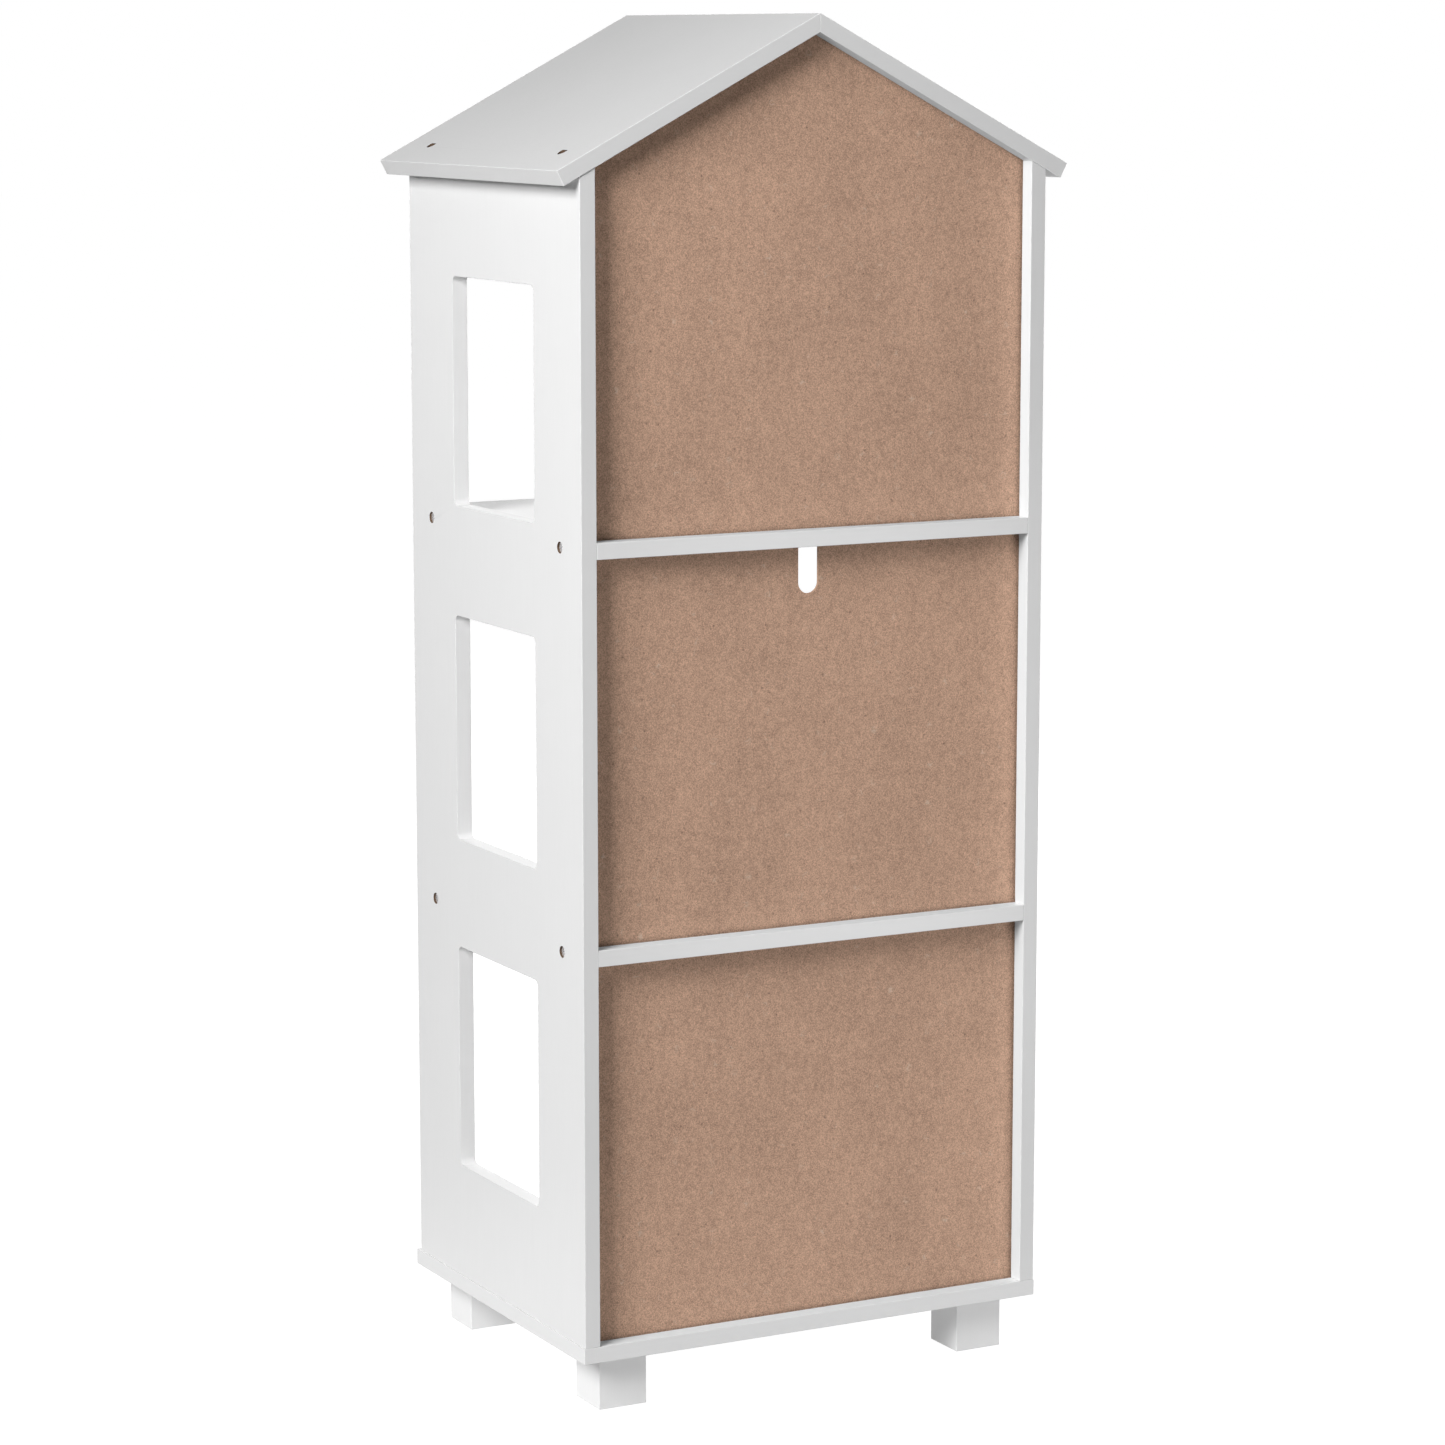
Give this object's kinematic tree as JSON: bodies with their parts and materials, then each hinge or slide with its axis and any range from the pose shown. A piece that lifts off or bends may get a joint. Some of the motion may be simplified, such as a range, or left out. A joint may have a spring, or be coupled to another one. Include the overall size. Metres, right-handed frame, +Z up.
{
  "type": "wooden dollhouse",
  "caption": "Tall open-fronted wooden dollhouse: stacked rooms between windowed side panels, raw board back with a notch, pitched roof, base on square feet.",
  "frame": {"origin": "on the floor, under the middle of the overall box", "axes": "+Z up, -Y out of the open play side, +Y out of the closed back, +X to the right of someone who faces the play side"},
  "size_m": [0.5208, 0.384, 1.2613],
  "materials": {
    "white_paint": "satin white paint on fibreboard",
    "raw_hardboard": "raw brown fibreboard, matt, with fine flecks",
    "painted_pine": "satin white paint on pine, faint grain",
    "zinc_steel": "bright zinc plate",
    "beech": "raw beech"
  },
  "bodies": {
    "root": {"side_panel_left": "white_paint", "side_panel_right": "white_paint", "base_panel": "white_paint", "lower_shelf": "white_paint", "upper_shelf": "white_paint", "roof_panel_left": "white_paint", "roof_panel_right": "white_paint", "back_panel_bottom": "raw_hardboard", "back_panel_middle": "raw_hardboard", "back_panel_top": "raw_hardboard", "foot_front_left": "painted_pine", "foot_front_right": "painted_pine", "foot_rear_left": "painted_pine", "foot_rear_right": "painted_pine", "lower_shelf_screws": "zinc_steel", "upper_shelf_screws": "zinc_steel", "roof_screws": "zinc_steel", "base_screws": "zinc_steel", "foot_screws": "zinc_steel", "lower_shelf_dowels": "beech", "upper_shelf_dowels": "beech", "base_dowels": "beech", "ridge_dowels": "beech"}
  },
  "joints": []
}
